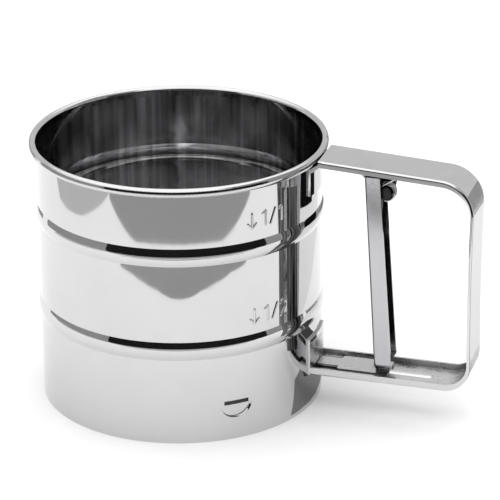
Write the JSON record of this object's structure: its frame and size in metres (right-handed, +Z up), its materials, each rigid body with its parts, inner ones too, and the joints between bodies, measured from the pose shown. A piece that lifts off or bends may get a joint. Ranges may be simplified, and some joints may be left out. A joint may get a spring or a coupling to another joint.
{
  "type": "flour sifter",
  "caption": "Round steel cup with a mesh floor, an agitator above it and a strip handle whose sprung trigger lever works the agitator through a slide plate.",
  "frame": {"origin": "centre of the cup's bottom edge, on the surface that the sifter stands on", "axes": "+Z up along the cup's axis, +X towards the handle's grip, +Y across the handle"},
  "size_m": [0.1591, 0.1044, 0.0946],
  "materials": {
    "polished_steel": "mirror-polished stainless steel sheet with fine hairlines",
    "satin_steel": "bright stamped stainless steel",
    "mesh_wire": "plain-woven fine stainless wire",
    "spring_steel": "drawn spring wire",
    "fastener_steel": "turned and peened steel"
  },
  "bodies": {
    "body": {"cup_shell": "polished_steel", "mesh_frame_ring": "satin_steel", "mesh_screen": "mesh_wire", "mesh_clamp_ring": "satin_steel", "bridge_bar": "satin_steel", "centre_spacer": "satin_steel", "wear_washer": "satin_steel", "pivot_rivet": "fastener_steel", "cap_washer": "fastener_steel", "handle_strip": "polished_steel", "pivot_bracket": "satin_steel", "hinge_pin": "polished_steel", "spring_post": "fastener_steel", "return_spring": "spring_steel"},
    "lever": {"trigger_lever": "polished_steel"},
    "slide": {"slide_plate": "satin_steel"},
    "agitator": {"agitator_hub": "satin_steel", "agitator_plate": "satin_steel", "agitator_blade_1": "satin_steel", "agitator_blade_2": "satin_steel", "agitator_blade_3": "satin_steel", "agitator_blade_4": "satin_steel", "crank_arm": "satin_steel", "crank_pin": "fastener_steel"}
  },
  "joints": [
    {"name": "lever_squeeze", "type": "hinge", "parent": "body", "child": "lever", "pos_m": [0.0706, 0, 0.0844], "axis": [0, -1, 0], "range_deg": [0, 14.5], "stiffness_Nm_per_rad": 0.6, "springref_deg": -17.19, "deforming": ["return_spring"]},
    {"name": "slide_pull", "type": "slide", "parent": "body", "child": "slide", "axis": [1, 0, 0], "range_m": [0, 0.0184]},
    {"name": "agitator_turn", "type": "hinge", "parent": "body", "child": "agitator", "pos_m": [0, 0, 0.018], "axis": [0, 0, 1], "range_deg": [0, 54.5]}
  ],
  "couplings": [
    {"joint": "slide_pull", "follows": "lever_squeeze", "m_per_rad": 0.07156},
    {"joint": "agitator_turn", "follows": "lever_squeeze", "ratio": 3.713}
  ]
}
